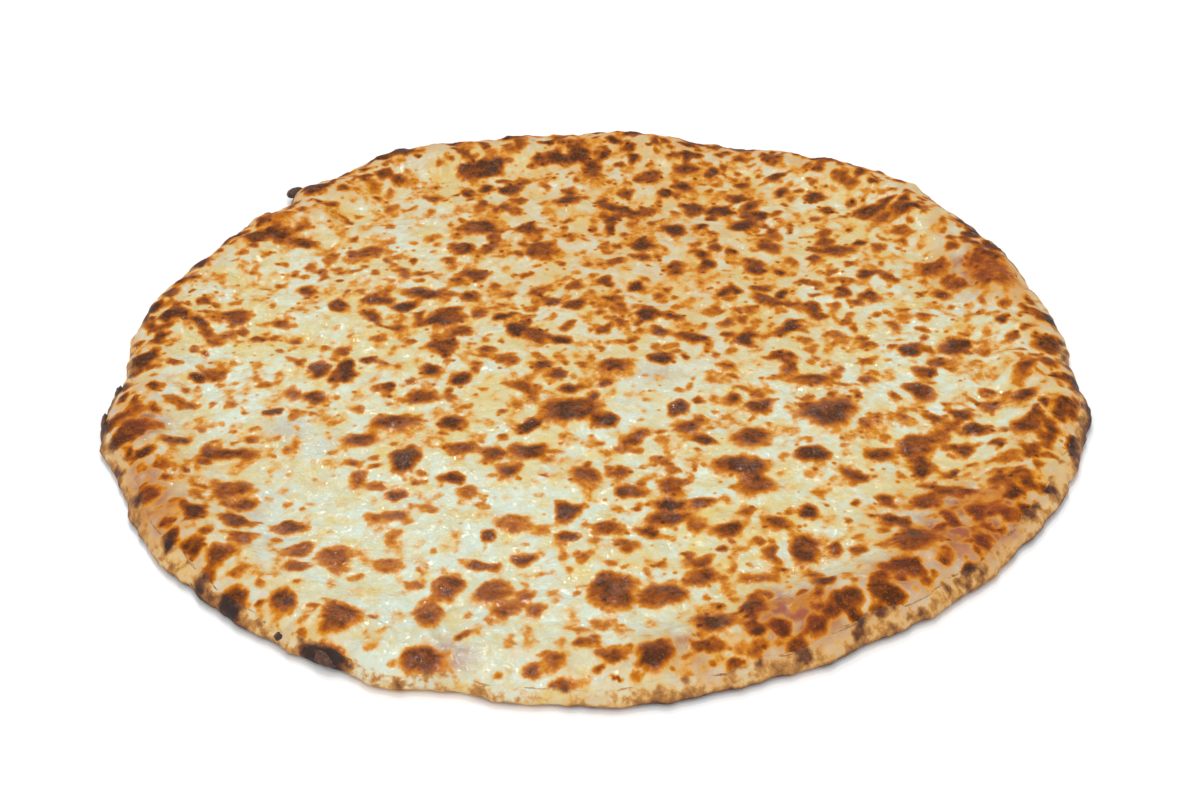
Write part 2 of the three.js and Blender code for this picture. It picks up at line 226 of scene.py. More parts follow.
# Burnt bits on the edge: bearing in degrees, inset and height of the middle, length, depth, thickness
BURNT_BITS = (
    (189, 2.2, 5.2, 9, 2.2, 3.2), (183, 2.4, 5.6, 5, 2.2, 2.8), (132, -0.5, 5.2, 6, 4, 2.6),
    (139, 1.6, 6, 3, 2, 2), (241, 3.4, 4.2, 9, 4.6, 3), (235, 2, 5, 2.6, 1.8, 2.2),
    (222, 1.8, 3.6, 7, 1.5, 1.6), (346, 1.6, 4.2, 7, 1.7, 2.2),
)


def length_property(name, description, metres):
    return bpy.props.FloatProperty(name=name, description=description, default=metres, unit="LENGTH")


class PizzaSizes(bpy.types.PropertyGroup):
    """Sizes of the pizza, the same as those of its solids."""

    mean_radius: length_property("Mean radius", "The edge wanders to both sides of it", 0.228)
    rim_crest: length_property("Rim crest", "Height of the rim's crest", 0.013)
    rim_width: length_property("Rim width", "From the edge to the flat middle", 0.046)
    crest_inset: length_property("Crest inset", "From the edge to the rim's crest", 0.021)
    nose_height: length_property("Nose height", "Height of the outermost point", 0.0034)
    base_inset: length_property("Base inset", "From the edge in to where the base lies", 0.007)
    cheese_inset: length_property("Bare crust", "Width of the crust outside the cheese", 0.0045)
    dough_floor: length_property("Dough", "Thickness of the dough in the middle", 0.0044)
    sauce: length_property("Sauce", "Thickness of the sauce", 0.001)
    cheese: length_property("Cheese", "Thickness of the cheese", 0.0028)
    swell: length_property("Swell", "Height of the cheese's broad waves", 0.00055)
    lip: length_property("Lip", "Height of the cheese's rounded edge", 0.0003)


def linear(hex_colour):
    """An sRGB hex colour as linear red, green, blue and an alpha of one."""
    parts = [int(hex_colour[i : i + 2], 16) / 255 for i in (1, 3, 5)]
    return [c / 12.92 if c <= 0.04045 else ((c + 0.055) / 1.055) ** 2.4 for c in parts] + [1.0]


def colour_property(name, description, hex_colour):
    return bpy.props.FloatVectorProperty(
        name=name, description=description, default=linear(hex_colour), subtype="COLOR", size=4, min=0, max=1
    )


class PizzaColours(bpy.types.PropertyGroup):
    """Colours of the pizza, from the palest to the darkest of each layer."""

    milky: colour_property("Milky cheese", "Thick, pale, wet cheese", "#ced8c4")
    butter: colour_property("Buttery cheese", "Cheese with its fat drawn out", "#d3c388")
    oil: colour_property("Oily cheese", "Yellow patches where fat pools", "#d8bc64")
    tan: colour_property("Tanned skin", "Thin cheese dried by the heat", "#c6986e")
    smear: colour_property("Grey smear", "Cheese over a hollow bubble", "#b0a498")
    gold: colour_property("Golden", "The first browning", "#da9c34")
    orange: colour_property("Orange", "The halo round a blister", "#be6e0c")
    rust: colour_property("Rust", "A blister's shoulder", "#944a0a")
    brown: colour_property("Brown", "A blister's top", "#743a0e")
    black: colour_property("Almost black", "A scorched top", "#4c280e")
    # grain colour: partly the film's own mottle, partly a painted highlight on the raised tops of the grains
    grain: colour_property("Grain", "Grains on a blister's film", "#a66230")
    sauce: colour_property("Sauce", "Cooked tomato", "#984026")
    dough: colour_property("Dough", "Pale baked dough", "#d6b27c")
    toast: colour_property("Toast", "Toasted dough", "#b07a3c")
    scorch: colour_property("Scorch", "Scorched dough", "#6c3c1c")
    char: colour_property("Char", "Burnt dough", "#2c1810")
    floor: colour_property("Floor", "Pale floor", "#f9f9f8")


# ------------------------------------------------------------------ formulas


def smooth(t):
    """The S-curve 3t squared minus 2t cubed, with t held between 0 and 1."""
    t = np.clip(t, 0.0, 1.0)
    return t * t * (3 - 2 * t)


def mix(a, b, share):
    return a + (b - a) * share


def steps_round(count):
    """Bearings of that many equal steps, once round."""
    return TURN * np.arange(count) / count


def scatter(seed):
    """A number from 0 to 1 that looks random: the fraction of a large multiple of a sine."""
    value = np.sin(seed * 12.9898 + 78.233) * 43758.5453
    return value - np.floor(value)


def bumps(places, bearing):
    """Sum of bell curves, each round its bearing."""
    total = np.zeros_like(bearing)
    for at, size, width in places:
        apart = (np.degrees(bearing) - at + 540) % 360 - 180
        total += size * np.exp(-((apart / width) ** 2))
    return total


def dry_edge(bearing):
    """How dry the edge is: 1, or less where the cheese stays wet."""
    return np.clip(1 - bumps(WET_EDGE, bearing), 0, 1)


def ripples(waves, bearing):
    """Sum of sine waves that close on themselves round the pizza."""
    total = np.zeros_like(bearing)
    for count, size in waves:
        total += size * np.sin(count * bearing + TURN * scatter(count))
    return total


def lattice_noise(x, y, cell, seed):
    """Value noise from -1 to 1: random heights at the corners of square cells, joined by S-curves."""
    turn = 0.7 + seed
    u = (x * math.cos(turn) + y * math.sin(turn)) / cell
    v = (y * math.cos(turn) - x * math.sin(turn)) / cell
    left, low = np.floor(u), np.floor(v)
    across, up = smooth(u - left), smooth(v - low)

    def corner(i, j):
        return scatter((left + i) * 3.17 + (low + j) * 57.31 + seed * 11.7)

    bottom = mix(corner(0, 0), corner(1, 0), across)
    top = mix(corner(0, 1), corner(1, 1), across)
    return 2 * mix(bottom, top, up) - 1


def layered_noise(x, y, cell, seed, layers=3):
    """Lattice noise plus finer copies of itself, each half the size and just over half the height."""
    total, weight, reach = 0.0, 1.0, 0.0
    for layer in range(layers):
        total = total + weight * lattice_noise(x, y, cell / 2**layer, seed + 5 * layer)
        reach += weight
        weight *= 0.55
    return total / reach


def lumps(x, y, noises):
    """Sum of lattice noises, each times its height."""
    return sum(height * lattice_noise(x, y, cell, seed) for height, cell, seed in noises)


def weigh(weights, fields):
    """Sum of the named fields, each times its weight."""
    return sum(weight * fields[name] for name, weight in weights.items())


def curved_ridges(x, y, cell, seed):
    """Ridges from 0 to 1 that wander: highest where a noise, read at bent places, crosses zero."""
    bent_x = x + 0.5 * cell * lattice_noise(x, y, 1.3 * cell, seed + 1)
    bent_y = y + 0.5 * cell * lattice_noise(x, y, 1.3 * cell, seed + 2)
    return 1 - np.clip(2.2 * np.abs(layered_noise(bent_x, bent_y, cell, seed, 2)), 0, 1)


def areas(places, x, y):
    """Sum of round, soft-edged areas as bell curves."""
    total = np.zeros_like(x)
    for at_x, at_y, radius, strength in places:
        total += strength * np.exp(-((x - at_x) ** 2 + (y - at_y) ** 2) / radius**2)
    return total


class Outline:
    """The pizza's edges and its skin without blisters, in millimetres, as functions of bearing."""

    def __init__(self, sizes):
        names = sizes.__annotations__
        self.size = SimpleNamespace(**{name: getattr(sizes, name) / MM for name in names})
        self.skin_level = self.size.dough_floor + self.size.sauce + self.size.cheese + 2 * LAYER_GAP
        bearing = steps_round(SECTORS)
        ring = self.plain_edge(bearing) * np.array([np.cos(bearing), np.sin(bearing)])
        self.shift = -(ring.max(1) + ring.min(1)) / 2

    def plain_edge(self, bearing):
        return self.size.mean_radius + bumps(EDGE_BUMPS, bearing) + ripples(EDGE_RIPPLES, bearing)

    def edge(self, bearing):
        """The solids' edge with finer ripples on it."""
        return self.plain_edge(bearing) + ripples(FINE_EDGE_RIPPLES, bearing)

    def crest(self, bearing):
        return self.size.rim_crest + bumps(CREST_BUMPS, bearing) + ripples(CREST_RIPPLES, bearing)

    def flat_edge(self, bearing):
        """Where the flat middle ends and the rim begins."""
        return self.plain_edge(bearing) - self.size.rim_width

    def cheese_edge(self, bearing):
        """Where the cheese ends: inside the edge by the bare crust's width, scalloped by ripples."""
        bare = self.size.cheese_inset + bumps(BARE_BUMPS, bearing) + ripples(CHEESE_RIPPLES, bearing)
        x, y = self.size.mean_radius * np.cos(bearing), self.size.mean_radius * np.sin(bearing)
        bare += CHEESE_WANDER * layered_noise(x, y, 7, 53)
        return self.plain_edge(bearing) - np.maximum(bare, LEAST_BARE)

    def climb(self, inset):
        """An S-curve from 0 where the rim begins to 1 at its crest."""
        return smooth((self.size.rim_width - inset) / (self.size.rim_width - self.size.crest_inset))

    def skin(self, bearing, radius):
        """Height of the skin: flat, an S-curve up to the crest, then a quarter of a superellipse."""
        inset = self.edge(bearing) - radius
        size, crest = self.size, self.crest(bearing)
        fall = np.clip(1 - inset / size.crest_inset, 0, 1)
        inner = mix(self.skin_level, crest, self.climb(inset))
        outer = mix(size.nose_height, crest, (1 - fall * fall) ** RIM_POWER)
        return np.where(inset >= size.crest_inset, inner, outer)


# ------------------------------------------------------------------ the map of the surface


class SurfaceMap:
    """Values over the pizza seen from above, on a square grid: browning, rise of the blisters, tan,
    sauce, smears and paleness. Each blister changes only the window of the grid round it."""

    CELL = 0.5
    HALF = 240

    def __init__(self, outline):
        axis = np.arange(-self.HALF, self.HALF, self.CELL)
        self.outline = outline
        self.x, self.y = np.meshgrid(axis, axis)
        bearing = np.arctan2(self.y, self.x)
        radius = np.hypot(self.x, self.y)
        self.inset = outline.edge(bearing) - radius
        self.bearing = bearing
        # Blisters are drawn on bent coordinates, which makes their outlines uneven
        self.bent_x, self.bent_y = self.x + self.bend(11), self.y + self.bend(13)
        self.clear = np.ones_like(self.x)
        self.rise = np.zeros_like(self.x)
        self.pale = np.clip(areas(PALE_AREAS, self.x, self.y), 0, 1)
        self.busy = np.clip(areas(BUSY_AREAS, self.x, self.y), 0, 1)
        self.rim = self.dry_rim()
        self.folds = curved_ridges(self.x, self.y, FOLD_CELL, 61)
        self.draw_blisters()
        self.tan = self.tan_of_skin()
        self.browning = self.browned()
        self.sauce = self.patchy(SAUCE_AREAS, 31, 5)
        self.smear = self.patchy(SMEAR_AREAS, 37, 4)

    def bend(self, seed):
        """A shift in one direction: the sum of a broad noise and a fine one."""
        return sum(
            size * layered_noise(self.x, self.y, cell, seed + number, 2)
            for number, (size, cell) in enumerate(BENDS)
        )

    def patchy(self, places, seed, cell):
        """Soft areas broken up by noise."""
        spread = areas(places, self.x, self.y)
        return np.clip(spread * (1 + PATCHINESS * layered_noise(self.x, self.y, cell, seed)), 0, 1)

    def dry_rim(self):
        """Where the rim is dry: it grows towards the edge, except where the cheese stays wet."""
        reach = DRY_REACH + DRY_WANDER * layered_noise(self.x, self.y, 24, 41)
        return smooth(1 - (self.inset - DRY_WHOLLY) / reach) * dry_edge(self.bearing)

    def tan_of_skin(self):
        """How much the cheese has dried: over the dry rim, most on its folds, and in busy areas."""
        patches = TAN_MEAN + TAN_VARIES * layered_noise(self.x, self.y, 9, 43)
        dried = self.rim * (TAN_OF_RIM + TAN_OF_FOLDS * self.folds) + TAN_OF_BUSY * self.busy
        return np.clip(dried * patches, 0, 1)

    def browned(self):
        """Blisters made uneven by noise, over a golden haze that comes and goes, and a toasted line
        along the edge."""
        uneven = 1 + UNEVENNESS * layered_noise(self.x, self.y, 5, 45)
        drift = layered_noise(self.x, self.y * 0.8, 6, 47)
        haze = HAZE * smooth(HAZE_COVER + HAZE_DRIFT * drift + weigh(HAZE_GAINS, vars(self)))
        edge_line = EDGE_LINE * smooth(1 - self.inset / EDGE_LINE_WIDTH)
        return (1 - self.clear) * uneven + (haze + edge_line) * self.clear

    def scattered(self, family, random):
        """Blisters of one family, one near each corner of a shifted square grid, or none. They crowd
        and darken in busy areas and on the rim, and thin out in pale ones. Most are longest from
        front to back."""
        spacing, middle, spread, mean_tone, taken = family
        reach = int(SCATTER_REACH / spacing) + 1
        column, row = np.meshgrid(np.arange(-reach, reach + 1), np.arange(-reach, reach + 1))
        x = spacing * (column + 0.5 * (row % 2)).ravel()
        y = spacing * row.ravel().astype(float)
        count = x.size
        x += random.uniform(-JITTER, JITTER, count) * spacing
        y += random.uniform(-JITTER, JITTER, count) * spacing
        here = {name: self.read(getattr(self, name), x, y) for name in ("pale", "busy", "rim")}
        here["clumps"] = lattice_noise(x, y, 24, 51)
        chance = taken + weigh(CROWDING, here)
        length = middle * np.exp(random.normal(0, spread, count).clip(-2 * spread, 1.6 * spread))
        slim = random.uniform(SLIMMEST, ROUNDEST, count)
        turn = 90 + random.normal(0, TURN_SPREAD, count)
        tone = mean_tone + weigh(DARKENING, here) + random.normal(0, TONE_SPREAD, count)
        tone, rise = tone.clip(LEAST_TONE, 1), np.full(count, SPOT_RISE)
        rows = np.stack([x, y, length, length * slim, turn, tone, rise], 1)
        kept = (random.random(count) < chance) & (np.hypot(x, y) < SCATTER_REACH)
        for mark in BUBBLES + SPOTS:  # room is left round the listed ones
            room = math.sqrt(mark[2] * mark[3]) + 0.8 * length + 0.5
            kept &= (x - mark[0]) ** 2 + (y - mark[1]) ** 2 > room**2
        return rows[kept]

    def draw_blisters(self):
        """Draws the listed blisters and then the scattered ones."""
        random = np.random.default_rng(SEED)
        placed = [(*mark, BUBBLE_RISE) for mark in BUBBLES] + [(*mark, SPOT_RISE) for mark in SPOTS]
        drawn = [np.array(placed)] + [self.scattered(family, random) for family in FAMILIES]
        for blister in np.concatenate(drawn):
            self.draw_blister(*blister)

    def draw_blister(self, at_x, at_y, length, width, turn, tone, rise):
        """A blister is darkest behind its middle, on its far side, and fades from inside its ellipse out over
        a halo, quickly at its back and slowly at its front: painted shade on its far side and painted light
        on its front.
        Where several overlap, what each leaves clear is multiplied. Its dome is an S-curve over the ellipse,
        and the tallest dome counts."""
        mean = math.sqrt(length * width)
        reach = int((1.3 * length + 6) / self.CELL)
        column = int((at_x + self.HALF) / self.CELL)
        row = int((at_y + self.HALF) / self.CELL)
        window = np.s_[max(row - reach, 0) : row + reach, max(column - reach, 0) : column + reach]
        side, up = self.bent_x[window] - at_x, self.bent_y[window] - at_y
        angle = math.radians(turn)
        along = (side * math.cos(angle) + up * math.sin(angle)) / length
        across = (up * math.cos(angle) - side * math.sin(angle)) / width
        ratio = np.hypot(along, across)
        # Painted shade: each blister is darker and ends more crisply on its far side, and is paler with a
        # softer halo at its front.
        back = np.clip(up / mean, -1, 1)
        outside = (ratio - 1 - PAINTED_SHADE_SHIFT * back) * mean
        inner = mean * mix(FADE_OF_SMALL, FADE_OF_LARGE, min(mean / LARGE, 1))
        halo = HALO + HALO_GROWTH * mean
        painted_shade_crisp = 1 + PAINTED_SHADE_CRISPNESS * back
        self.clear[window] *= 1 - tone * smooth(painted_shade_crisp * (halo - outside) / (halo + inner))
        dome = rise * mean * smooth(1 - (ratio / BUBBLE_FOOT) ** 2)
        self.rise[window] = np.maximum(self.rise[window], dome)

    def read(self, values, x, y):
        """The values at any points, by mixing the four nearest ones of the grid."""
        column = np.clip((x + self.HALF) / self.CELL, 0, values.shape[1] - 1.001)
        row = np.clip((y + self.HALF) / self.CELL, 0, values.shape[0] - 1.001)
        i, j = column.astype(int), row.astype(int)
        right, up = column - i, row - j
        low = mix(values[j, i], values[j, i + 1], right)
        high = mix(values[j + 1, i], values[j + 1, i + 1], right)
        return mix(low, high, up)


def swell(x, y, size):
    """Broad, shallow waves of the melted cheese: crossing sine waves, of which about half add up."""
    total = np.zeros_like(x)
    for wave in range(1, SWELL_WAVES + 1):
        heading = TURN * scatter(wave + 100)
        length = mix(SWELL_SHORTEST, SWELL_LONGEST, scatter(wave + 200))
        along = x * math.cos(heading) + y * math.sin(heading)
        total += np.sin(TURN * along / length + TURN * scatter(wave + 300))
    return size * total / (0.5 * SWELL_WAVES)


def rim_folds(outline, surface, bearing, radius, x, y):
    """Low, wandering folds and lumps of the rim's skin, strongest on the crest."""
    inset = outline.edge(bearing) - radius
    strength = outline.climb(inset) * smooth(inset / 4)
    folds = FOLD_HEIGHT * surface.read(surface.folds, x, y) ** 2 - FOLD_SINK
    return strength * (folds + RIM_LUMPS * layered_noise(x, y, 7, 63, 2))


# ------------------------------------------------------------------ meshes


def disc_faces(rings):
    """Triangles of a disc with one middle point, whose ring k has 6k points."""
    faces = []
    for k in range(1, rings + 1):
        outer, inner = 1 + 3 * k * (k - 1), 1 + 3 * (k - 1) * (k - 2) if k > 1 else 0
        step = np.arange(6 * k)
        side, within = np.divmod(step, k)
        inner_count = max(6 * (k - 1), 1)
        here = inner + (side * (k - 1) + within) % inner_count
        beyond = inner + (side * (k - 1) + within + 1) % inner_count
        a, b = outer + step, outer + (step + 1) % (6 * k)
        faces.append(np.stack([here, a, b], 1))
        faces.append(np.stack([here, b, beyond], 1)[within < k - 1])
    return np.concatenate(faces)


def disc_points(rings):
    """Share of the radius, and bearing, of every point of such a disc."""
    share, bearing = [np.zeros(1)], [np.zeros(1)]
    for k in range(1, rings + 1):
        share.append(np.full(6 * k, k / rings))
        bearing.append(steps_round(6 * k))
    return np.concatenate(share), np.concatenate(bearing)


def band_faces(starts, count):
    """Triangles between rings of equal count that start at the given points, each with the next."""
    step = np.arange(count)
    after = (step + 1) % count
    faces = []
    for first, second in zip(starts[:-1], starts[1:]):
        faces.append(np.stack([first + step, second + step, second + after], 1))
        faces.append(np.stack([first + step, second + after, first + after], 1))
    return np.concatenate(faces)


def fan_faces(middle, start, count, faces_up):
    """Triangles from a ring to one point."""
    step = np.arange(count)
    here, after = start + step, start + (step + 1) % count
    pair = (here, after) if faces_up else (after, here)
    return np.stack([np.full(count, middle), *pair], 1)


def make_piece(name, points, faces, material, values, slot, *nodes):
    """A smooth mesh of triangles in metres, with its values as attributes, riding on the body."""
    mesh = bpy.data.meshes.new(name)
    mesh.vertices.add(len(points))
    mesh.vertices.foreach_set("co", (points * MM).astype(np.float32).ravel())
    mesh.loops.add(faces.size)
    mesh.loops.foreach_set("vertex_index", faces.astype(np.int32).ravel())
    mesh.polygons.add(len(faces))
    mesh.polygons.foreach_set("loop_start", np.arange(0, faces.size, 3, dtype=np.int32))
    mesh.update(calc_edges=True)
    mesh.validate()
    mesh.shade_smooth()
    for key, value in values.items():
        kind, field = ("FLOAT", "value") if value.ndim == 1 else ("FLOAT_COLOR", "color")
        attribute = mesh.attributes.new(key, kind, "POINT")
        attribute.data.foreach_set(field, value.astype(np.float32).ravel())
    mesh.materials.append(material)
    piece = bpy.data.objects.new(name, mesh)
    bpy.context.scene.collection.objects.link(piece)
    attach(piece, "root")
    if nodes:
        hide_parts(*nodes)
    return piece


def stains(surface, x, y):
    """Tan, sauce, smear and paleness side by side, as one colour attribute."""
    fields = (surface.tan, surface.sauce, surface.smear, surface.pale)
    return np.stack([surface.read(field, x, y) for field in fields], 1)


def count_of(blocks):
    """How many points there are in all the blocks."""
    return sum(len(block) for block in blocks)


def polar_points(outline, bearing, radius, height):
    """Points from bearing, radius and height, moved to the middle of the solids' box."""
    x = radius * np.cos(bearing) + outline.shift[0]
    y = radius * np.sin(bearing) + outline.shift[1]
    return np.stack([x, y, height], 1)


def lip_drop(inside, height):
    """How far the cheese's rounded edge has dropped at a distance inside it: a quarter of a circle
    drawn out to the lip's width."""
    share = np.clip(1 - inside / LIP_WIDTH, 0, 1)
    return height * (1 - np.sqrt(1 - share**2))


def cheese_shape(outline, surface, rings=178):
    """The cheese: a disc whose height is the skin plus swell, folds, lumps and blisters, closed by
    a plain underside that lies its thickness below the skin."""
    size = outline.size
    share, bearing = disc_points(rings)
    reach = outline.cheese_edge(bearing)
    radius = share * reach
    x, y = radius * np.cos(bearing), radius * np.sin(bearing)
    inset = outline.edge(bearing) - radius
    height = swell(x, y, size.swell) * smooth((inset - SWELL_INSET) / size.crest_inset)
    height += outline.skin(bearing, radius)
    height += rim_folds(outline, surface, bearing, radius, x, y) + surface.read(surface.rise, x, y)
    height += lumps(x, y, CHEESE_LUMPS) * smooth((reach - radius) / LUMPS_FADE)
    height -= lip_drop(reach - radius, size.lip)
    points = [polar_points(outline, bearing, radius, height)]
    faces = [disc_faces(rings)]
    count = 6 * rings
    starts = [1 + 3 * rings * (rings - 1)]
    around = steps_round(count)
    edge, flat = outline.cheese_edge(around), outline.flat_edge(around)
    for part in (0.995, 0.6, 0.0):  # back from the edge to the flat middle
        under = mix(flat, edge, part)
        depth = mix(size.cheese, CHEESE_EDGE, part)
        starts.append(count_of(points))
        points.append(polar_points(outline, around, under, outline.skin(around, under) - depth))
    faces.append(band_faces(starts, count))
    middle = count_of(points)
    points.append(np.array([[*outline.shift, outline.skin_level - size.cheese]]))
    faces.append(fan_faces(middle, starts[-1], count, faces_up=False))
    points = np.concatenate(points)
    local = points[:, :2] - outline.shift
    return points, np.concatenate(faces), local


def crust_height(outline, bearing, radius):
    """The dough's top near and outside the cheese: the skin, from just inside the cheese's edge
    outwards, and sinking under the cheese further in."""
    inside = outline.cheese_edge(bearing) - radius
    return outline.skin(bearing, radius) - DIP * np.maximum(inside - 0.5 * LIP_WIDTH, 0)


def base_points(outline, rings):
    """Points of the flat base inside its last ring, with broad and fine pits, where it lay on the
    oven's floor, that fade out towards its edge."""
    share, bearing = disc_points(rings)
    radius = share * (outline.edge(bearing) - outline.size.base_inset)
    x, y = radius * np.cos(bearing), radius * np.sin(bearing)
    pits = BASE_PIT * smooth((lattice_noise(x, y, 13, 87) - 0.15) * 2.2)
    pits += BASE_GRAIN * smooth(lattice_noise(x, y, 5, 89))
    return polar_points(outline, bearing, radius, pits * smooth((1 - share) * 14))[share < 1]


def crust_shape(outline, surface, rings=128, bare_rows=26, nose_rows=10):
    """The crust, as rings of points round the pizza. They go from the hidden dough under the sauce
    out over the bare rim, whose height is the skin plus folds, blisters and grain, and down the nose,
    a quarter of an ellipse. A flat disc closes the base."""
    size = outline.size
    count = 6 * rings
    around = steps_round(count)
    edge, cheese, flat = outline.edge(around), outline.cheese_edge(around), outline.flat_edge(around)
    under_layers = size.cheese + size.sauce + 2 * LAYER_GAP
    hidden = outline.skin_level - under_layers
    middle_top = np.array([[*outline.shift, hidden]])
    points, starts = [middle_top], []

    def ring(radius, height):
        starts.append(count_of(points))
        points.append(polar_points(outline, around, radius, height))

    ring(flat, np.full(count, hidden))
    for part in SHOULDER_PARTS:
        radius = mix(flat, cheese, part)
        depth = mix(under_layers, CHEESE_EDGE + SAUCE_EDGE + 2 * LAYER_GAP, part)
        ring(radius, outline.skin(around, radius) - depth)
    for step in range(bare_rows):
        radius = mix(cheese - RIM_OVERLAP, edge, (step / bare_rows) ** RIM_SPREAD)
        x, y = radius * np.cos(around), radius * np.sin(around)
        relief = rim_folds(outline, surface, around, radius, x, y) + surface.read(surface.rise, x, y)
        relief += lumps(x, y, CRUST_GRAIN) * smooth((radius - cheese) / 2) * smooth((edge - radius) / 2)
        ring(radius, crust_height(outline, around, radius) + relief)
    for step in range(nose_rows + 1):
        angle = 0.5 * math.pi * step / nose_rows
        radius = edge - size.base_inset * (1 - math.cos(angle))
        rough = lattice_noise(size.mean_radius * around, np.full(count, 6.0 * angle), 3.2, 85)
        height = size.nose_height * (1 - math.sin(angle)) + NOSE_GRAIN * rough * math.sin(2 * angle)
        ring(radius, np.maximum(height, 0))
    faces = [fan_faces(0, starts[0], count, faces_up=True), band_faces(starts, count)]

    # The base ends at the last ring of the nose and shares its points
    base_start = count_of(points)
    points.append(base_points(outline, rings))
    base_faces = disc_faces(rings)[:, ::-1]
    last_ring = 1 + 3 * rings * (rings - 1)
    on_ring = base_faces >= last_ring
    faces.append(np.where(on_ring, base_faces - last_ring + starts[-1], base_faces + base_start))
    points = np.concatenate(points)
    under = np.zeros(len(points))
    under[starts[-nose_rows] :] = 1
    return points, np.concatenate(faces), points[:, :2] - outline.shift, under


def crust_values(outline, surface, points, local, under):
    """The crust's attributes. It is browned as the map says on top, toasted at its foot and darkened there
    with painted shade, the more the lower it is, scorched in places, and spotted on its base. Outside the
    cheese and below it is bare. Where the edge stays wet, its foot is toasted and shaded less and lower down,
    and less of it is bare."""
    x, y = local[:, 0], local[:, 1]
    bearing, radius = np.arctan2(y, x), np.hypot(x, y)
    inset = outline.edge(bearing) - radius
    dry = dry_edge(bearing)
    top = TOP_SHARE * surface.read(surface.browning, x, y) + TOP_TONE
    foot_toast_and_shade = (FOOT_TOAST_AND_SHADE + FOOT_TOAST_AND_SHADE_VARIES * layered_noise(x, y, 15, 99)) * mix(0.5, 1, dry)
    # Painted shade along with toast: the side darkens the lower it is, towards the floor.
    low = smooth(mix(0.95, 1.45, dry) - points[:, 2] / outline.size.nose_height)
    side = mix(top, foot_toast_and_shade, low) + bumps(SCORCHED_EDGE, bearing) * smooth(1 - inset / SCORCH_WIDTH)
    spots = smooth(layered_noise(x, y, 11, 97) * 1.6)
    near_edge = smooth((inset - 3) / 10) * smooth((30 - inset) / 25)  # a soft ring
    base = BASE_TONE + BASE_SPOTS * spots + BASE_RING * near_edge
    browning = np.where(under > 0, mix(side, base, smooth((inset - 5) / 9)), side)
    past_cheese = radius - outline.cheese_edge(bearing) + 1.5 * layered_noise(x, y, 6, 101)
    bare = np.maximum(BARE_MOST * smooth(past_cheese / BARE_FADE) * mix(0.3, 1, dry), under)
    return {"browning": browning, "bare": bare, "stain": stains(surface, x, y) * (1 - under)[:, None]}


def sauce_shape(outline, count=720):
    """The sauce: rings of points on the dough, out to the cheese's edge plus a noise, where a thin lip
    shows in places, and back along a flat underside."""
    size = outline.size
    around = steps_round(count)
    edge, flat = outline.cheese_edge(around), outline.flat_edge(around)
    noise = layered_noise(size.mean_radius * around, 0 * around, 14, 91, 2)
    peek = SAUCE_WANDER * SAUCE_PEEK * noise + SAUCE_MEAN
    peek = np.clip(peek - SAUCE_HIDES * bumps(WET_EDGE, around), SAUCE_LEAST, SAUCE_PEEK)
    level = outline.skin_level - size.cheese - LAYER_GAP
    rows = [(flat, np.full(count, level))]
    for part in SHOULDER_PARTS:
        radius = mix(flat, edge, part)
        depth = mix(size.cheese, CHEESE_EDGE, part) + LAYER_GAP
        rows.append((radius, outline.skin(around, radius) - depth))
    shows = smooth(peek / SAUCE_PEEK)
    for inside, above in SAUCE_LIP:
        radius = edge + peek - inside
        rows.append((radius, crust_height(outline, around, radius) - SAUCE_SINK + above * shows))
    rows.append((flat, np.full(count, level - size.sauce)))
    points = [np.array([[*outline.shift, level]])]
    points += [polar_points(outline, around, radius, height) for radius, height in rows]
    points.append(np.array([[*outline.shift, level - size.sauce]]))
    starts = [1 + count * row for row in range(len(rows))]
    faces = [
        fan_faces(0, starts[0], count, faces_up=True),
        band_faces(starts, count),
        fan_faces(starts[-1] + count, starts[-1], count, faces_up=False),
    ]
    return np.concatenate(points), np.concatenate(faces)


def burnt_shape(outline, around_count=26, rows=14):
    """The burnt bits: each is an ellipsoid on a grid of two angles, made rough by noise, and laid
    along the edge at its bearing."""
    tilt = math.pi * np.arange(1, rows) / rows
    turn, fall = np.meshgrid(steps_round(around_count), tilt)
    turn, fall = turn.ravel(), fall.ravel()
    points, faces = [], []
    for number, (bearing, inset, height, length, depth, thick) in enumerate(BURNT_BITS):
        unit = np.stack([np.sin(fall) * np.cos(turn), np.sin(fall) * np.sin(turn), np.cos(fall)], 1)
        unit = np.vstack([[0, 0, 1], unit, [0, 0, -1]])
        first, second = unit[:, 0] * 9 + unit[:, 2] * 4 + 40 * number, unit[:, 1] * 9 - unit[:, 2] * 5
        noise = layered_noise(first, second, 5, 95)
        local = unit * np.array([length, depth, thick]) * (1 + BURNT_GRAIN * noise[:, None])
        angle = math.radians(bearing)
        radius = outline.edge(np.array([angle]))[0] - inset
        outward = np.array([math.cos(angle), math.sin(angle), 0])
        along = np.array([-math.sin(angle), math.cos(angle), 0])
        middle = outward * radius + np.array([*outline.shift, height])
        top = count_of(points)
        bit = middle + local[:, :1] * along + local[:, 1:2] * outward + local[:, 2:] * np.array([0, 0, 1])
        bit[:, 2] = np.maximum(bit[:, 2], BURNT_FLOOR)
        points.append(bit)
        starts = [top + 1 + around_count * row for row in range(rows - 1)]
        faces.append(fan_faces(top, starts[0], around_count, faces_up=True))
        faces.append(band_faces(starts, around_count))
        faces.append(fan_faces(starts[-1] + around_count, starts[-1], around_count, faces_up=False))
    return np.concatenate(points), np.concatenate(faces)


# ------------------------------------------------------------------ materials


def set_inputs(tree, node, inputs):
    """Gives each named input a value or a link. A node stands for its first output."""
    for key, value in inputs.items():
        if isinstance(value, bpy.types.Node):
            value = value.outputs[0]
        if isinstance(value, bpy.types.NodeSocket):
            tree.links.new(value, node.inputs[key])
        else:
            node.inputs[key].default_value = value


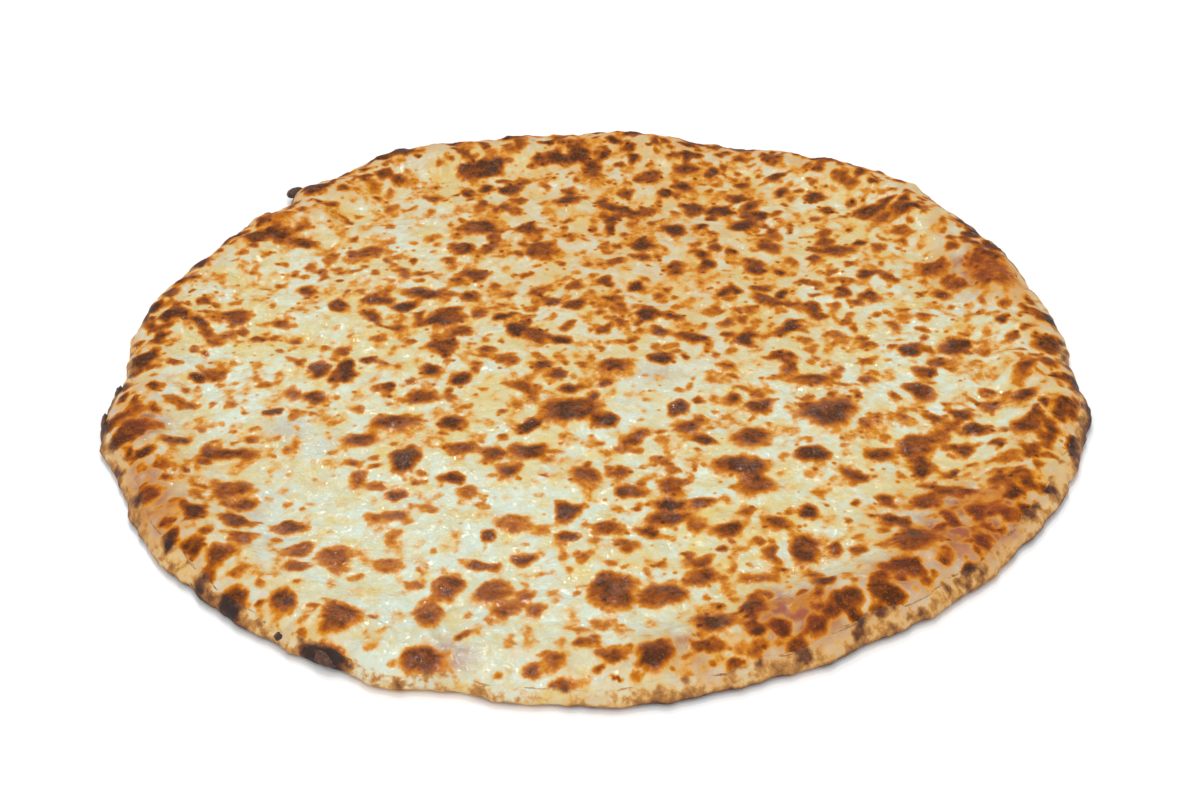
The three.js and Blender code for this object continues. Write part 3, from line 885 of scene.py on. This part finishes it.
def add_node(tree, kind, inputs=None, ramp=(), **settings):
    """Adds a shader node, sets its properties and inputs, and the places and colours of its ramp, of
    which the first two are its ends."""
    node = tree.nodes.new("ShaderNode" + kind)
    for key, value in settings.items():
        setattr(node, key, value)
    set_inputs(tree, node, inputs or {})
    for number, (place, colour) in enumerate(ramp):
        stops = node.color_ramp.elements
        stop = stops[number] if number < 2 else stops.new(place)
        stop.position, stop.color = place, colour
    return node


# Inputs and the output of a Mix node that mixes colours
MIX_SHARE, MIX_FIRST, MIX_SECOND, MIX_RESULT = 0, 6, 7, 2
# Noise whose finer layers are strong, and noise that is smoother
ROUGH = {"Detail": 4, "Roughness": 0.6}
SMOOTHER = {"Detail": 3, "Roughness": 0.5}


def sized(place, millimetres, **more):
    """Inputs of a texture on coordinates in metres, whose features are that many millimetres."""
    return {"Vector": place, "Scale": 1 / (millimetres * MM), **more}


def new_material(name):
    """An empty node material with its shader and output, and the object's own coordinates."""
    material = bpy.data.materials.new(name)
    material.use_nodes = True
    tree = material.node_tree
    tree.nodes.clear()
    shader = add_node(tree, "BsdfPrincipled")
    add_node(tree, "OutputMaterial", {"Surface": shader.outputs[0]})
    place = add_node(tree, "TexCoord").outputs["Object"]
    return material, tree, shader, place


def bare_skin(tree, place, stain, colours):
    """The skin before it browns: milky, buttery and oily patches, tanned, smeared or stained by
    sauce in places."""
    tanned, sauced, smeared = add_node(tree, "SeparateColor", {0: stain["Color"]}).outputs
    patches = add_node(tree, "TexNoise", sized(place, 17, **ROUGH))
    milky = add_node(tree, "MapRange", {"Value": patches, "From Min": 0.42, "From Max": 0.58, "To Max": 0.8})
    pale = stain["Alpha"]
    milky = add_node(tree, "Math", {0: pale, 1: 0.5, 2: milky}, operation="MULTIPLY_ADD", use_clamp=True)
    pools = add_node(tree, "TexNoise", sized(place, 11, **ROUGH))
    oily = add_node(tree, "MapRange", {"Value": pools, "From Min": 0.5, "From Max": 0.68, "To Max": 0.8})
    skin = colours.butter
    for share, strength, colour in (
        (milky, 1, colours.milky), (oily, 1, colours.oil), (tanned, 0.75, colours.tan),
        (smeared, 0.6, colours.smear), (sauced, 0.85, colours.sauce),
    ):
        share = add_node(tree, "Math", {0: share, 1: strength}, operation="MULTIPLY", use_clamp=True)
        inputs = {MIX_SHARE: share, MIX_FIRST: skin, MIX_SECOND: colour}
        skin = add_node(tree, "Mix", inputs, data_type="RGBA").outputs[MIX_RESULT]
    return skin


def uneven_browning(tree, place, browning, pale):
    """The browning, with fine noise that roughens the outlines of the blisters and mottles their
    tops, and with flecks in some cells of a pattern, fewer where the cheese is pale."""
    grit = add_node(tree, "TexNoise", sized(place, 2.6, **ROUGH))
    grit = add_node(tree, "Math", {0: grit, 1: 0.7, 2: -0.35}, operation="MULTIPLY_ADD")
    touched = add_node(
        tree, "MapRange", {"Value": browning, "From Min": 0.04, "From Max": 0.35},
        interpolation_type="SMOOTHSTEP",
    )
    uneven = add_node(tree, "Math", {0: grit, 1: touched, 2: browning}, operation="MULTIPLY_ADD")
    cells = add_node(tree, "TexVoronoi", sized(place, 4.6)).outputs
    dot = add_node(
        tree, "MapRange",
        {"Value": cells["Distance"], "From Min": 0.38, "From Max": 0.1, "To Max": 0.4},
        interpolation_type="SMOOTHSTEP",
    )
    chosen = add_node(tree, "MapRange", {"Value": cells["Color"], "From Min": 0.5, "From Max": 0.8})
    flecks = add_node(tree, "Math", {0: dot, 1: chosen}, operation="MULTIPLY")
    few = add_node(tree, "Math", {0: pale, 1: -0.7, 2: 1.0}, operation="MULTIPLY_ADD")
    return add_node(tree, "Math", {0: flecks, 1: few, 2: uneven}, operation="MULTIPLY_ADD")


def coat_with_oil(tree, shader, place, pale, dried):
    """Oil pools on the pale cheese in a thin, rippled coat, and dries up where the skin is tanned or
    browned, each by its strength."""
    oil = add_node(tree, "TexNoise", sized(place, 9))
    wet = add_node(
        tree, "MapRange",
        {"Value": oil, "From Min": 0.42, "From Max": 0.62, "To Min": 0.2, "To Max": 0.9},
    )
    for field, strength in ((pale, 0.5), *dried):
        wet = add_node(
            tree, "Math", {0: field, 1: strength, 2: wet}, operation="MULTIPLY_ADD", use_clamp=True
        )
    waves = add_node(tree, "TexNoise", sized(place, 6, Distortion=0.8, **SMOOTHER))
    bump = add_node(tree, "Bump", {"Height": waves, "Distance": 3 * MM, "Strength": 1.0})
    coat = {"Coat Weight": wet, "Coat Normal": bump, "Coat Roughness": 0.08, "Coat IOR": 1.6}
    set_inputs(tree, shader, coat)


def cheese_material(colours):
    """Mozzarella melted and browned under top heat: wet and pale between blisters, with a grainy,
    dark film on them, each with a golden halo."""
    material, tree, shader, place = new_material("mozzarella_melted_and_browned")
    browning = add_node(tree, "Attribute", attribute_name="browning").outputs["Fac"]
    stain = add_node(tree, "Attribute", attribute_name="stain").outputs
    tanned, sauced = add_node(tree, "SeparateColor", {0: stain["Color"]}).outputs[:2]
    pale = stain["Alpha"]

    # Browning covers the skin, and sauce that has come through reddens it
    total = uneven_browning(tree, place, browning, pale)
    burn = add_node(
        tree, "ValToRGB", {0: total},
        ramp=(
            (0.18, colours.gold), (0.98, colours.black), (0.42, colours.orange), (0.64, colours.rust),
            (0.81, colours.brown),
        ),
    )
    covered = add_node(
        tree, "MapRange", {"Value": total, "From Min": 0.04, "From Max": 0.32},
        interpolation_type="SMOOTHSTEP",
    )
    film = add_node(tree, "MapRange", {"Value": total, "From Min": 0.45, "From Max": 0.8})
    reddened = add_node(tree, "Math", {0: sauced, 1: 0.3}, operation="MULTIPLY", use_clamp=True)

    # The browned film is grainy, with grains over a millimetre across; the raised grain tops are painted
    # paler, partly the film's own mottle and partly a painted highlight, and the hollows between stay dark
    grains = add_node(tree, "TexVoronoi", sized(place, 1.6))
    grain_mottle_and_highlight = add_node(tree, "MapRange", {"Value": grains, "From Min": 0.38, "From Max": 0, "To Max": 0.6})
    grain_mottle_and_highlight = add_node(tree, "Math", {0: grain_mottle_and_highlight, 1: film}, operation="MULTIPLY")
    skin = bare_skin(tree, place, stain, colours)
    for share, colour in ((covered, burn), (reddened, colours.sauce), (grain_mottle_and_highlight, colours.grain)):
        inputs = {MIX_SHARE: share, MIX_FIRST: skin, MIX_SECOND: colour}
        skin = add_node(tree, "Mix", inputs, data_type="RGBA").outputs[MIX_RESULT]
    ripple = add_node(tree, "TexNoise", sized(place, 5, **SMOOTHER))
    relief = add_node(tree, "Math", {0: ripple, 1: 1.8}, operation="MULTIPLY")
    hollows = add_node(tree, "Math", {0: grains, 1: film}, operation="MULTIPLY")
    relief = add_node(tree, "Math", {0: hollows, 1: -0.5, 2: relief}, operation="MULTIPLY_ADD")
    bump = add_node(tree, "Bump", {"Height": relief, "Distance": MM, "Strength": 0.8})

    # Tanned skin and browned film are duller than wet cheese
    gloss = add_node(tree, "Math", {0: tanned, 1: 0.15, 2: 0.4}, operation="MULTIPLY_ADD")
    gloss = add_node(tree, "Math", {0: film, 1: 0.08, 2: gloss}, operation="MULTIPLY_ADD")
    set_inputs(tree, shader, {
        "Base Color": skin, "Roughness": gloss, "Normal": bump, "IOR": 1.4, "Specular IOR Level": 0.15,
        "Subsurface Weight": 0.08, "Subsurface Radius": (1.0, 0.6, 0.25), "Subsurface Scale": 1.2 * MM,
    })
    coat_with_oil(tree, shader, place, pale, dried=((tanned, -0.6), (covered, -0.55)))
    return material


def crust_material(colours):
    """Wheat dough baked on stone: dry and matt, tan with toasted freckles, scorched and darkened with painted
    shade at its foot.
    """
    material, tree, shader, place = new_material("wheat_dough_baked")
    browning = add_node(tree, "Attribute", attribute_name="browning").outputs["Fac"]
    bare = add_node(tree, "Attribute", attribute_name="bare").outputs["Fac"]
    stain = add_node(tree, "Attribute", attribute_name="stain").outputs
    freckles = add_node(tree, "TexNoise", sized(place, 4, **ROUGH))
    patches = add_node(tree, "TexNoise", sized(place, 14))
    total = add_node(tree, "Math", {0: browning, 1: -0.84})
    for field, strength in ((freckles, 1.3), (patches, 0.4)):
        total = add_node(tree, "Math", {0: field, 1: strength, 2: total}, operation="MULTIPLY_ADD")
    baked = add_node(
        tree, "ValToRGB", {0: total},
        ramp=((0.2, colours.gold), (1.0, colours.char), (0.42, colours.toast), (0.72, colours.scorch)),
    )
    covered = add_node(
        tree, "MapRange", {"Value": total, "From Min": 0.08, "From Max": 0.42},
        interpolation_type="SMOOTHSTEP",
    )
    skin = bare_skin(tree, place, stain, colours)
    for share, colour in ((bare, colours.dough), (covered, baked)):
        inputs = {MIX_SHARE: share, MIX_FIRST: skin, MIX_SECOND: colour}
        skin = add_node(tree, "Mix", inputs, data_type="RGBA").outputs[MIX_RESULT]
    grain = add_node(tree, "TexNoise", sized(place, 1.4, **ROUGH))
    grain = add_node(tree, "Math", {0: grain, 1: 0.45}, operation="MULTIPLY")
    bubbles = add_node(tree, "TexVoronoi", sized(place, 3), feature="SMOOTH_F1")
    relief = add_node(tree, "Math", {0: bubbles, 1: -0.35, 2: grain}, operation="MULTIPLY_ADD")
    bump = add_node(tree, "Bump", {"Height": relief, "Distance": MM, "Strength": 0.9})
    set_inputs(tree, shader, {"Base Color": skin, "Normal": bump, "Roughness": 0.62, "IOR": 1.4})
    return material


def sauce_material(colours):
    """Tomato sauce dried by the oven: red-brown, moist, with bits of pulp."""
    material, tree, shader, place = new_material("tomato_sauce_cooked")
    pulp = add_node(tree, "TexNoise", sized(place, 2.5, **ROUGH))
    colour = add_node(
        tree, "ValToRGB", {0: pulp},
        ramp=((0.3, colours.rust), (0.7, colours.dough), (0.5, colours.toast)),
    )
    bump = add_node(tree, "Bump", {"Height": pulp, "Distance": 0.6 * MM, "Strength": 0.8})
    set_inputs(tree, shader, {"Base Color": colour, "Normal": bump, "Roughness": 0.35})
    return material


def char_material(colours):
    """Dough and cheese burnt to carbon: almost black, crumbly, with brown hollows."""
    material, tree, shader, place = new_material("dough_burnt_to_char")
    crumbs = add_node(tree, "TexNoise", sized(place, 1.8, **ROUGH))
    colour = add_node(tree, "ValToRGB", {0: crumbs}, ramp=((0.42, colours.char), (0.66, colours.scorch)))
    bump = add_node(tree, "Bump", {"Height": crumbs, "Distance": MM, "Strength": 1.0})
    set_inputs(tree, shader, {"Base Color": colour, "Normal": bump, "Roughness": 0.5})
    return material


def floor_material(colours):
    """Plain matt paper: a faint grain of fibres and next to no gloss."""
    material, tree, shader, place = new_material("paper_sweep_matt")
    fibres = add_node(tree, "TexNoise", sized(place, 6))
    bump = add_node(tree, "Bump", {"Height": fibres, "Distance": 0.05 * MM, "Strength": 0.3})
    looks = {"Base Color": colours.floor, "Normal": bump, "Roughness": 0.9, "Specular IOR Level": 0.1}
    set_inputs(tree, shader, looks)
    return material


# ------------------------------------------------------------------ operators

WORKED_OUT = {}  # the outline and the map, worked out once and used by every piece


def worked_out(context):
    """The pizza's outline and its surface map."""
    if "surface" not in WORKED_OUT:
        outline = Outline(context.scene.pizza_sizes)
        WORKED_OUT["outline"] = outline
        WORKED_OUT["surface"] = SurfaceMap(outline)
    return WORKED_OUT["outline"], WORKED_OUT["surface"]


class PIZZA_OT_crust(bpy.types.Operator):
    """Build the baked crust with its bare rim and toasted base"""

    bl_idname = "pizza.crust"
    bl_label = "Crust"

    def execute(self, context):
        outline, surface = worked_out(context)
        points, faces, local, under = crust_shape(outline, surface)
        values = crust_values(outline, surface, points, local, under)
        material = crust_material(context.scene.pizza_colours)
        make_piece("pizza_crust", points, faces, material, values, "crust", "crust")
        return {"FINISHED"}


class PIZZA_OT_sauce(bpy.types.Operator):
    """Build the sauce that shows at the edge of the cheese"""

    bl_idname = "pizza.sauce"
    bl_label = "Sauce"

    def execute(self, context):
        outline = worked_out(context)[0]
        points, faces = sauce_shape(outline)
        material = sauce_material(context.scene.pizza_colours)
        make_piece("pizza_sauce", points, faces, material, {}, "sauce", "sauce")
        return {"FINISHED"}


class PIZZA_OT_cheese(bpy.types.Operator):
    """Build the melted cheese with its browned blisters"""

    bl_idname = "pizza.cheese"
    bl_label = "Cheese"

    def execute(self, context):
        outline, surface = worked_out(context)
        points, faces, local = cheese_shape(outline, surface)
        x, y = local[:, 0], local[:, 1]
        values = {"browning": surface.read(surface.browning, x, y), "stain": stains(surface, x, y)}
        material = cheese_material(context.scene.pizza_colours)
        make_piece("pizza_cheese", points, faces, material, values, "cheese", "cheese")
        return {"FINISHED"}


class PIZZA_OT_burnt_bits(bpy.types.Operator):
    """Build the burnt bits along the edge"""

    bl_idname = "pizza.burnt_bits"
    bl_label = "Burnt bits"

    def execute(self, context):
        outline = worked_out(context)[0]
        points, faces = burnt_shape(outline)
        material = char_material(context.scene.pizza_colours)
        make_piece("burnt_bits", points, faces, material, {}, "crust")
        return {"FINISHED"}


# The camera stands where the ellipse of the edge and the drawing-in of the far side put it
CAMERA_PLACE = (0.0, -0.8234, 0.5715)
CAMERA_AIM = (0.0028, -0.0302, 0.006)
CAMERA_ROLL = -1.95  # degrees
CAMERA_LENS, SENSOR_WIDTH = 63.33, 36  # millimetres
# Lamps far away: name, bearing and height in degrees, angle across, strength
LAMPS = (
    ("front_soft", 262, 62, 60, 1.35),
    ("overhead_small", 88, 72, 13, 0.75),
    ("far_small", 98, 51, 7, 0.6),
)
SKY_STRENGTH = 0.5
SKY_HORIZON = 0.9  # a white band along the horizon
SKY_BEHIND = 0.12  # high up behind the pizza, where a bright sky would veil the colours


def make_floor(colours, half=6.0):
    """A square sheet that reaches so many metres to each side."""
    mesh = bpy.data.meshes.new("floor")
    corners = [(-half, -half, 0), (half, -half, 0), (half, half, 0), (-half, half, 0)]
    mesh.from_pydata(corners, [], [(0, 1, 2, 3)])
    mesh.materials.append(floor_material(colours))
    return bpy.data.objects.new("floor", mesh)


def make_lamp(name, bearing, height, across, strength):
    """A round lamp far away, turned so that it shines on the pizza."""
    lamp = bpy.data.lights.new(name, "SUN")
    lamp.angle, lamp.energy = math.radians(across), strength
    turn, lift = math.radians(bearing), math.radians(height)
    level = math.cos(lift)
    towards = Vector((math.cos(turn) * level, math.sin(turn) * level, math.sin(lift)))
    holder = bpy.data.objects.new(name, lamp)
    holder.rotation_euler = towards.to_track_quat("Z", "Y").to_euler()
    return holder


def make_sky():
    """A white sky, brightest along the horizon and dim high up behind the pizza."""
    world = bpy.data.worlds.new("studio")
    world.use_nodes = True
    tree = world.node_tree
    direction = add_node(tree, "TexCoord").outputs["Generated"]
    parts = add_node(tree, "SeparateXYZ", {0: direction}).outputs
    upper = add_node(
        tree, "MapRange", {"Value": parts["Y"], "From Max": 0.5, "To Min": SKY_STRENGTH, "To Max": SKY_BEHIND}
    )
    height = add_node(tree, "MapRange", {"Value": parts["Z"], "From Min": 0.2, "From Max": 0.35})
    strength = add_node(tree, "Mix", {0: height, 2: SKY_HORIZON, 3: upper})
    set_inputs(tree, tree.nodes["Background"], {"Color": (1, 1, 1, 1), "Strength": strength})
    return world


def make_camera(outline):
    """A camera that looks from its place to its aim, rolled round that line."""
    lens = bpy.data.cameras.new("camera")
    lens.sensor_width = SENSOR_WIDTH
    lens.lens = CAMERA_LENS
    lens.dof.use_dof = False
    shift = Vector((*outline.shift * MM, 0))
    place, aim = Vector(CAMERA_PLACE) + shift, Vector(CAMERA_AIM) + shift
    look = (aim - place).to_track_quat("-Z", "Y").to_matrix().to_4x4()
    roll = Matrix.Rotation(math.radians(CAMERA_ROLL), 4, "Z")
    camera = bpy.data.objects.new("camera", lens)
    camera.matrix_world = Matrix.Translation(place) @ look @ roll
    return camera


class PIZZA_OT_stage(bpy.types.Operator):
    """Lay the pale floor, hang the lights and set up the camera"""

    bl_idname = "pizza.stage"
    bl_label = "Stage"

    def execute(self, context):
        scene = context.scene
        floor, camera = make_floor(scene.pizza_colours), make_camera(worked_out(context)[0])
        for thing in (floor, camera, *(make_lamp(*lamp) for lamp in LAMPS)):
            scene.collection.objects.link(thing)
        scene.world = make_sky()
        scene.view_settings.view_transform = "Standard"
        scene.camera = camera
        return {"FINISHED"}


class PIZZA_PT_panel(bpy.types.Panel):
    """The pizza's pieces and stage"""

    bl_idname = "PIZZA_PT_panel"
    bl_label = "Pizza"
    bl_space_type = "VIEW_3D"
    bl_region_type = "UI"
    bl_category = "Pizza"

    def draw(self, context):
        for operator in OPERATORS:
            self.layout.operator(operator.bl_idname)
        for group in (context.scene.pizza_sizes, context.scene.pizza_colours):
            box = self.layout.box()
            for name in group.__annotations__:
                box.prop(group, name)


OPERATORS = (PIZZA_OT_crust, PIZZA_OT_sauce, PIZZA_OT_cheese, PIZZA_OT_burnt_bits, PIZZA_OT_stage)
CLASSES = (PizzaSizes, PizzaColours, *OPERATORS, PIZZA_PT_panel)


def register():
    for kind in CLASSES:
        bpy.utils.register_class(kind)
    bpy.types.Scene.pizza_sizes = bpy.props.PointerProperty(type=PizzaSizes)
    bpy.types.Scene.pizza_colours = bpy.props.PointerProperty(type=PizzaColours)


def unregister():
    del bpy.types.Scene.pizza_colours
    del bpy.types.Scene.pizza_sizes
    for kind in reversed(CLASSES):
        bpy.utils.unregister_class(kind)


def main():
    """Builds every piece, then the stage."""
    register()
    for kind in OPERATORS:
        group, name = kind.bl_idname.split(".")
        getattr(getattr(bpy.ops, group), name)()


if __name__ == "__main__":
    main()
